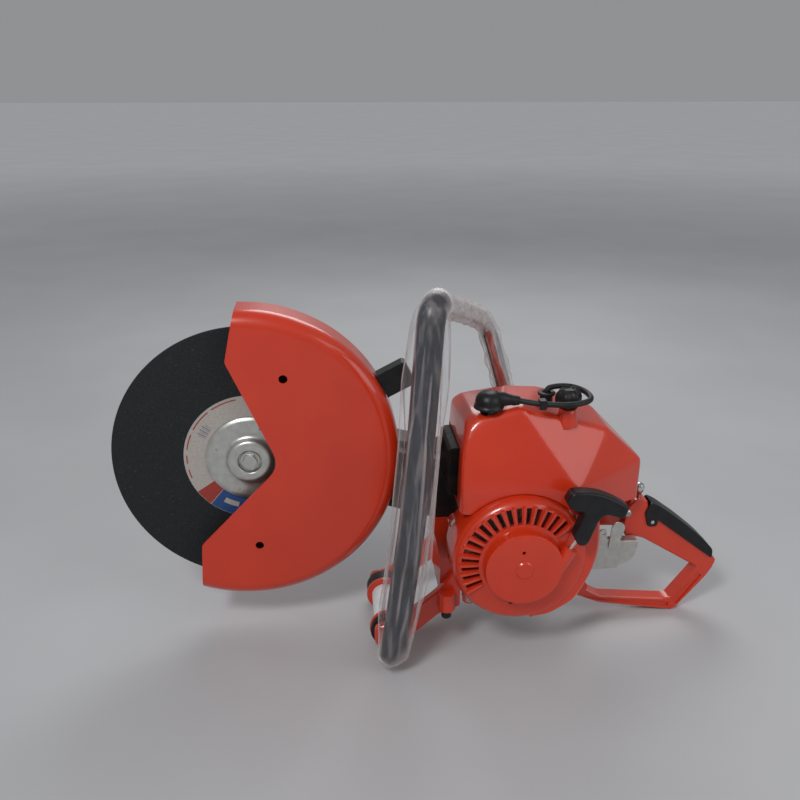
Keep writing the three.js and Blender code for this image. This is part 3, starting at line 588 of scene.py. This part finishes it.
def cutting_disc():
    """The wheel: two gritty faces, a slightly broken rim and a paper label round the flange."""
    half = (DISC_HIGH.y - DISC_LOW.y) * 500
    bore, broken = 13, 0.7
    bands = [(bore, -half), (60, -half), (110, -half), (150, -half), (DISC_R - broken, -half),
             (DISC_R, -half + broken), (DISC_R, half - broken), (DISC_R - broken, half), (110, half),
             (bore, half)]
    disc = turned("wheel", bands, (0, 0, 0), (0, 1, 0), "blade", "abrasive", segments=180, closed=True)
    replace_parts(disc, "cutting_disc")
    paper, ink, mark = -half - 0.02, -half - 0.1, -half - 0.2
    ring_sector("label_ground", 50, 85, 0, 360, paper, LABEL_PAPER)
    for first, last in ((100, 124), (128, 150), (155, 170), (176, 184), (190, 199)):
        ring_sector(f"label_dash_{first}", 80.2, 81.8, first, last, ink, LABEL_RED)
    for k in range(7):
        first = 139 + 2.2 * k
        last = first + (0.7, 1.3)[k % 2]
        ring_sector(f"label_bar_{k}", 62, 72 + 2 * (k % 2), first, last, ink, LABEL_GREY)
    ring_sector("label_red_block", 58, 84.6, 213, 229, ink, LABEL_RED)
    ring_sector("label_blue_block", 58, 84.6, 229.6, 268, ink, LABEL_BLUE)
    ring_sector("label_pale_mark", 66, 73, 238, 254, mark, LABEL_PAPER)


def outer_flange():
    """Pressed and zinc-plated clamp flange with a turned boss and four pin holes."""
    profile = [(12.7, -3.2), (42, -3.2), (42, -1.9), (57, -1.9), (57, -4.4, 1.2), (52, -7.5, 3),
               (37, -7.5, 3), (31, -9, 3), (27.5, -15, 2), (24, -16.5, 1.5), (16, -16.5, 0.8),
               (15, -15.5, 0.5), (15, -9.6), (6.4, -9.6), (6.4, -7.6), (12.7, -7.6)]
    flange = turned("clamp_flange", rounded(profile), (0, 0, 0), (0, 1, 0), "blade", "zinc_steel",
                    segments=120, closed=True)
    pins = [rod(f"pin_{k}", 1.9, -9, -5.5, 44 * math.cos(t), 44 * math.sin(t), None, "zinc_steel", 20)
            for k, t in enumerate(math.radians(70 + 90 * k) for k in range(4))]
    carved(flange, pins)
    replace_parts(flange, "outer_flange")


def guard_shell():
    """Deep-drawn guard: C-section drum, cut back along a vee, with two mounting holes."""
    sheet, fillet, front, back = 2.5, 19, -30, 25
    turns = [math.pi / 2 * k / 10 for k in range(11)]
    outer = [(GUARD_R - fillet + fillet * math.sin(t), front + fillet * (1 - math.cos(t))) for t in turns]
    small = fillet - sheet
    inner = [(GUARD_R - fillet + small * math.sin(t), front + fillet - small * math.cos(t))
             for t in reversed(turns)]
    profile = [(0, front), *outer, (GUARD_R, back), (20, back), (20, back - sheet),
               (GUARD_R - sheet, back - sheet), *inner, (0, front + sheet)]
    x, z = GUARD_CENTRE
    shell = turned("guard_shell", profile, (x, 0, z), (0, 1, 0), "guard", "red_paint", segments=180)
    kept = rounded([(1, 236), (-21, 138, 3), (39, -1.5, 22), (-67, -110, 4), (-75, -225), (260, -225),
                    (260, 236)], steps=10)
    carved(shell, [prism("kept", kept, front - 10, back + 10, None, "red_paint")], "INTERSECT")
    carved(shell, [rod("boss_way", 29.6, 15, 40, 0, 0, None, "red_paint", 64),
                   rod("upper_hole", 5.5, -40, -20, 48, 115, None, "red_paint", 32),
                   rod("lower_hole", 5.5, -40, -20, 7, -113.5, None, "red_paint", 32)])
    soften(shell, 0.8, 3, 40)
    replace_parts(shell, "blade_guard")


def guard_grip():
    """Short moulded tab for turning the guard."""
    tilt = math.radians(27.5)
    x, z = GUARD_CENTRE
    block = rounded([(195.9, -16.5, 0.5), (236, -16.5, 5), (236, 16.5, 5), (195.9, 16.5, 0.5)])
    outline = [(x + u * math.cos(tilt) - v * math.sin(tilt), z + u * math.sin(tilt) + v * math.cos(tilt))
               for u, v in block]
    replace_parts(prism("guard_grip", outline, -10, 10, "guard", "black_plastic", soft=1.6), "guard_handle")


# ---------------------------------------------------------------- front handle
HANDLE_LINE = [(172, 52, -222), (172, -94, -222, 3), (172, -135, -226, 30), (201, -135, -2, 70),
               (217, -135, 236, 34), (312, 60, 160, 40), (344, 60, 50, 30), (346, 60, -36)]


def front_handle():
    """One bent tube, a black grip sleeve on its near leg, and the clear film both legs are wrapped in."""
    line = bent_line(HANDLE_LINE, 8)
    tube = swept("bent_tube", line, 11, "machine", "chrome_tube", sides=32)
    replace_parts(tube, "front_handle_tube")
    first = next(i for i, p in enumerate(line) if p.y < -118)
    top = next(i for i, p in enumerate(line) if p.z > 214)
    past = next(i for i, p in enumerate(line) if i > top and p.y > -116)
    sleeve = swept("grip_sleeve", line[first:past], lambda share, turn: 16 - 0.8 * (share > 0.985), "machine",
                   "black_rubber", SLEEVE, sides=36, wall=3.6)
    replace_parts(sleeve, "handle_sleeve")

    def near_wrap(share, turn):
        """Loose bag: close at its ends, standing off in long pleats in between."""
        loose = math.sin(math.pi * min(1.0, share * 1.06)) ** 0.6
        pleat = noise.noise(Vector((share * 3.2, math.cos(turn) * 1.9, math.sin(turn) * 1.9)))
        tuck = noise.noise(Vector((share * 11, math.cos(turn) * 4.2, math.sin(turn) * 4.2 + 7)))
        return 17.8 + loose * (min(12.0, max(0.0, 6.5 + 12.0 * pleat)) + 1.6 * tuck)

    fine = bent_line(HANDLE_LINE, 3, 24)
    start_i = next(i for i, p in enumerate(fine) if p.y < -120)
    top_i = next(i for i, p in enumerate(fine) if p.z > 214)
    past_i = next(i for i, p in enumerate(fine) if i > top_i and p.y > -116)
    bag = swept("near_film", fine[start_i:past_i], near_wrap, "machine", "clear_film", sides=72, wall=FILM)
    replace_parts(bag, "handle_film_near")
    shade(bag, 80)

    def far_wrap(share, turn):
        crinkle = noise.noise(Vector((share * 26, math.cos(turn) * 2.2, math.sin(turn) * 2.2 + 3)))
        return 12.6 + max(0.0, 1.4 + 3.2 * crinkle)

    end_i = next(i for i, p in enumerate(fine) if i > past_i and p.z < 52)
    wrap = swept("far_film", fine[past_i - 4:end_i], far_wrap, "machine", "clear_film", sides=48, wall=FILM)
    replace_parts(wrap, "handle_film_far")
    shade(wrap, 80)


def guide_roller():
    """White nylon roller between red flanges, with rubber rings at its ends."""
    bore, x, z = 11.3, HANDLE_LINE[0][0], HANDLE_LINE[0][2]
    for name, radius, y0, y1, slot, soft, node in (
        ("roller_barrel", 17.3, -64, 8, "white_nylon", 1.0, "roller_core"),
        ("roller_cheek_near", 24.4, -69.5, -64.3, "red_paint", 1.2, "roller_flange_near"),
        ("roller_cheek_far", 24.4, 8.3, 13.5, "red_paint", 1.2, "roller_flange_far"),
        ("roller_buffer_near", 23.4, -77, -69.8, "black_rubber", 1.5, "roller_ring_near"),
        ("roller_buffer_far", 23.4, 13.8, 34, "black_rubber", 2.0, "roller_ring_far"),
    ):
        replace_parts(washer(name, bore, radius, y0, y1, x, z, "roller", slot, soft=soft), node)


# ---------------------------------------------------------------- engine hood
HOOD_SKIN = [
    (257, -115, -48), (257, -116, -4), (258, -110, 30), (262, -103, 54), (270, -97, 70), (282, -93, 81),
    (264, -86, 74), (272, -80, 82), (332, -93, 91), (332, -84, 94), (402, -116, -8), (404, -115, -54),
    (501, -50, 0), (500, -50, -70), (448, -64, 51), (441, 0, 61), (375, 2, 86), (332, 0, 90), (270, -2, 82),
    (260, 10, 70), (257, 25, -6), (257, 25, -48), (402, 25, -12), (404, 25, -54), (501, -8, 0),
    (500, -8, -70),
]
VOLUTE = [(347, -178, 0), (372, -174, 8), (403, -154, 10), (419, -122, 12), (428, -90, 12), (428, -60, 10),
          (424, -30, 6), (404, -30, 6), (398, -56, 8), (340, -70, 0)]


def engine_hood():
    """Pressed shell with soft folds, open below and in front, cut for the starter, plug, lead and knob."""
    work = bmesh.new()
    for place in HOOD_SKIN:
        work.verts.new(at(*place))
    bmesh.ops.convex_hull(work, input=work.verts)
    loose = [v for v in work.verts if not v.link_faces]
    bmesh.ops.delete(work, geom=loose, context="VERTS")
    mesh = bpy.data.meshes.new("hood_shell")
    work.to_mesh(mesh)
    work.free()
    mesh.materials.append(PAINT["red_paint"])
    hood = bpy.data.objects.new("hood_shell", mesh)
    bpy.context.scene.collection.objects.link(hood)
    remesh = hood.modifiers.new("even_grid", "REMESH")
    remesh.mode = "VOXEL"
    remesh.voxel_size = 0.003
    smooth = hood.modifiers.new("soft_folds", "SMOOTH")
    smooth.iterations = 14
    wall = hood.modifiers.new("sheet", "SOLIDIFY")
    wall.thickness = 0.0024
    applied(hood)
    flat = {"body": None, "slot": "red_paint"}
    below = [(230, -34), (257, -34), (404, -40), (520, -57.5), (520, -120), (230, -120)]
    window = rounded([(240, -30), (240, 40), (275, 40, 5), (275, -30, 5)])
    volute = [(385 + (x - 385) * 1.05, -102 + (z + 102) * 1.05) for x, z in rounded(VOLUTE)]
    carved(hood, [prism("underside", below, -150, 60, **flat), prism("front_window", window, -86, 8, **flat)])
    carved(hood, [
        rod("starter_way", 84.8, -150, -69.5, *CRANK, segments=96, **flat),
        prism("volute_way", volute, -150, -69.5, **flat),
        drill("plug_way", 13, 60, (311.7, -54.4, 61.4), (-21, -30, 35), 40),
        drill("lead_way", 8.4, 40, (371, -47.5, 60), (0, 0, 1)),
        drill("knob_way", 5.4, 50, (*KNOB, 50), (0, 0, 1)),
    ])
    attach(hood, "machine")
    shade(hood, 50)
    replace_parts(hood, "engine_hood")
    seat = rounded([(5.8, 62), (13.5, 62), (11.5, 80, 2), (10, 84, 1), (5.8, 84)])
    turned("knob_seat", seat, (*KNOB, 0), (0, 0, 1), "machine", "red_paint", segments=48, closed=True)


# ---------------------------------------------------------------- ignition lead and hood knob
def ignition():
    """The plug's boot, its ribbed neck and the lead that loops over the hood."""
    dome = [(0, 91.9), (18, 91.9, 1), (18, 94.4, 1.2), (16.2, 97, 1.5), (16.4, 103, 5), (13, 109, 4),
            (7.5, 112.2, 3), (0, 112.6)]
    boot = turned("boot_dome", rounded(dome), (292, -85, 0), (0, 0, 1), "machine", "black_rubber",
                  PAINT["black_plastic"], 64)
    neck = [(0, 0), (9.5, 0), (9, 8, 3), (6.8, 16, 3), (6.9, 18, 0.6), (6.2, 19, 0.6), (6.7, 21, 0.6),
            (6.0, 22, 0.6), (6.5, 24, 0.6), (5.6, 25, 0.6), (5.4, 29, 1), (0, 29)]
    turned("boot_neck", rounded(neck), (300, -85, 103), (1, -0.03, -0.12), "machine", "black_rubber",
           PAINT["black_plastic"], 40)
    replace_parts(boot, "spark_plug_boot")
    route = bent_line([(327, -86, 99.8), (352, -95, 98, 8), (388, -103, 98, 14), (419, -88, 98.5, 16),
                       (414, -54, 101, 16), (388, -46, 104, 14), (371, -47, 100, 6), (371, -48, 70, 10),
                       (385, -64, 60, 8), (385, -66, 40.8)], 4, 12)
    lead = swept("plug_lead", route, 3.5, "machine", "black_rubber", sides=20)
    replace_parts(lead, "ignition_lead")


def hood_knob():
    """Moulded hand knob with six soft lobes and a dished top."""
    x, y = KNOB
    segments, vertices, faces = 96, [], []
    profile = [(0, 62), (5, 62), (5, 85), (11.5, 85.2), (13.6, 87), (15.8, 91), (16.4, 94), (16.4, 99.5),
               (15, 104), (12, 107.2), (8.5, 109), (6, 107.6), (0, 107.4)]
    for i in range(segments):
        t = 2 * math.pi * i / segments
        lobe = 0.9 + 0.1 * math.cos(6 * t)
        for r, h in profile:
            reach = r * (lobe if r > 8 else 1)
            vertices.append(at(x + reach * math.cos(t), y + reach * math.sin(t), h))
    count = len(profile)
    for i in range(segments):
        near, far = i * count, ((i + 1) % segments) * count
        faces += [(near + k, far + k, far + k + 1, near + k + 1) for k in range(count - 1)]
    knob = piece_from("hand_knob", vertices, faces, "knob", "black_plastic")
    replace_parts(knob, "hood_knob")


# ---------------------------------------------------------------- starter
PULL_WAY = Vector((0.5, 0, math.sin(math.pi / 3)))
ROPE_FOOT = Vector((363.9, -141, -113))


def pull_starter():
    """Tee handle and the cord that it draws out of the housing."""
    tee = rounded([(375, -4, 3), (381, 9, 5), (397, 9.5, 8), (416, 6, 10), (434, -2, 10), (451, -13, 4),
                   (446, -28, 5), (423, -21, 8), (415, -29, 5), (406, -56, 3), (401, -62, 4), (393, -61, 4),
                   (387, -50, 3), (398, -17, 6), (383, -15, 5)])
    grip = prism("tee_handle", tee, -155, -136, "pull", "black_plastic", soft=3.6, segments=5)
    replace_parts(grip, "pull_handle")
    line = [ROPE_FOOT + PULL_WAY * (3 + k) for k in range(67)]
    cord = swept("pull_cord", line, lambda share, turn: 1.75 + 0.15 * math.cos(3 * turn + share * 60), None,
                 "rope", sides=24)
    at(*line[0])
    at(*line[-1])
    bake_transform(cord)
    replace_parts(cord, "starter_rope")


def housing_ribs():
    """Raised cooling ribs between the starter housing's slots."""
    x0, z0 = CRANK
    for k in range(18):
        t = math.radians(210 - 10 * k)
        u, v = Vector((math.cos(t), math.sin(t))), Vector((-math.sin(t), math.cos(t)))
        corners = rounded([(54, -1.5, 0.7), (77, -1.9, 1.2), (77, 1.9, 1.2), (54, 1.5, 0.7)], steps=3)
        outline = [(x0 + (u * a + v * b).x, z0 + (u * a + v * b).y) for a, b in corners]
        prism(f"louvre_rib_{k + 1}", outline, -135.2, -130, "machine", "red_paint", soft=0.8, segments=3)


def screw(name, x, y, z, radius, height, facing=-1):
    """Pan-head screw standing on the face at y, facing the near side or, with 1, the belt side."""
    shoulder, crown = y + facing * height * 0.55, y + facing * height
    head = rounded([(0, y), (radius, y), (radius, shoulder, height * 0.4), (radius * 0.55, crown, 1.0),
                    (0, crown)])
    made = turned(name, head, (x, 0, z), (0, 1, 0), "machine", "zinc_steel", segments=32)
    floor_y = y + facing * height * 0.5
    recess = rod("recess", radius * 0.42, floor_y, crown + facing, x, z, None, "zinc_steel", 6)
    carved(made, [recess])


def screws():
    """Three screws on the near side and two in the handle bracket on the belt side."""
    screw("lug_screw_upper", 257, -79, -64, 6.8, 6.5)
    screw("lug_screw_lower", 277, -79, -176, 5.6, 5.0)
    screw("handle_screw", 498, -27, -89, 5.2, 3.5)
    low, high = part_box("handle_bracket")
    side = (high.y - HUB.y) * 1000
    for name, share in (("bracket_screw_upper", 0.74), ("bracket_screw_lower", 0.26)):
        middle = low.lerp(high, share)
        screw(name, ((low.x + high.x) / 2 - HUB.x) * 1000, side, (middle.z - HUB.z) * 1000, 4.2, 3.2, 1)


# ---------------------------------------------------------------- belt cover
def along_arm(reach, across):
    """An (x, z) point on the belt arm: `reach` from the disc's centre to the crank, `across` upwards."""
    arm = Vector(CRANK).normalized()
    return tuple(arm * reach + Vector((-arm.y, arm.x)) * across)


def belt_cover_details():
    """Raised panel, stiffening ribs and screws on the cover's outer face."""
    face = (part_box("belt_cover")[1].y - HUB.y) * 1000
    length = Vector(CRANK).length
    turns = [math.pi * k / 16 for k in range(17)]
    panel = [along_arm(length + 26 * math.sin(t), 26 * math.cos(t)) for t in turns]
    panel += [along_arm(-24 * math.sin(t), -24 * math.cos(t)) for t in turns]
    prism("cover_panel", panel, face, face + 1.6, "machine", "black_plastic", soft=0.7, segments=3)
    for k in range(3):
        across = 12 - 12 * k
        bar = rounded([along_arm(60, across - 2), along_arm(length - 70, across - 2),
                       along_arm(length - 70, across + 2), along_arm(60, across + 2)], 1.8)
        prism(f"cover_rib_{k + 1}", bar, face + 1.6, face + 3.0, "machine", "black_plastic", soft=0.6,
              segments=3)
    places = ((-34, 0), (105, 36), (105, -36), (235, 37), (235, -37), (length + 37, 0))
    for k, (reach, across) in enumerate(places):
        x, z = along_arm(reach, across)
        screw(f"cover_screw_{k + 1}", x, face, z, 4.6, 3.2, 1)


def bracket_peg():
    """Rubber stop under the front bracket's barrel."""
    peg = rounded([(0, -190), (6.5, -190, 2), (6.5, -178), (0, -178)])
    turned("bracket_peg", peg, (245, -97, 0), (0, 0, 1), "machine", "black_rubber", segments=32)


cutting_disc()
outer_flange()
guard_shell()
guard_grip()
front_handle()
guide_roller()
engine_hood()
ignition()
hood_knob()
pull_starter()
housing_ribs()
screws()
belt_cover_details()
bracket_peg()


# ---------------------------------------------------------------- studio
def make_studio():
    """Even pale surroundings, a pale floor whose painted glow brightens it far away, and three area lights.
    """
    scene = bpy.context.scene
    scene.view_settings.view_transform = "Standard"
    scene.view_settings.exposure = -0.25
    world = bpy.data.worlds.new("studio")
    world.use_nodes = True
    world.node_tree.nodes["Background"].inputs["Color"].default_value = tint("E6E8EB")
    world.node_tree.nodes["Background"].inputs["Strength"].default_value = 0.42
    scene.world = world
    floor_mesh = bpy.data.meshes.new("floor")
    reach = 30.0
    corners = [(-reach, -reach, 0), (reach, -reach, 0), (reach, reach, 0), (-reach, reach, 0)]
    floor_mesh.from_pydata(corners, [], [(0, 1, 2, 3)])
    material, tree, shader, place = start("pale_floor", Roughness=0.7)
    mottle(tree, shader, place, 400, [(0.3, "B4B5B7"), (0.7, "BCBDBF")])
    away = add(tree, "ShaderNodeVectorMath", {"operation": "LENGTH"}, {0: (place, "Object")})
    # painted glow: the floor's emission rises with distance, standing in for light that does not reach it far
    # away
    painted_far_glow = add(tree, "ShaderNodeMapRange",
               {"From Min": 1.2, "From Max": 7.0, "To Min": 0.0, "To Max": 0.24},
               {"Value": (away, "Value")})
    tree.links.new(painted_far_glow.outputs["Result"], shader.inputs["Emission Strength"])
    shader.inputs["Emission Color"].default_value = tint("E6E8EB")
    floor_mesh.materials.append(material)
    floor = bpy.data.objects.new("floor", floor_mesh)
    scene.collection.objects.link(floor)
    for name, place_m, size, power in (
        ("key", (-0.9, -1.5, 1.9), 0.5, 30),
        ("fill", (1.6, -1.2, 1.2), 1.4, 12),
        ("back", (0.3, 1.6, 1.7), 1.2, 18),
    ):
        data = bpy.data.lights.new(name, "AREA")
        data.size = size
        data.energy = power
        lamp = bpy.data.objects.new(name, data)
        lamp.location = place_m
        lamp.rotation_mode = "QUATERNION"
        lamp.rotation_quaternion = (Vector((0, 0, 0.2)) - Vector(place_m)).to_track_quat("-Z", "Y")
        scene.collection.objects.link(lamp)


make_studio()
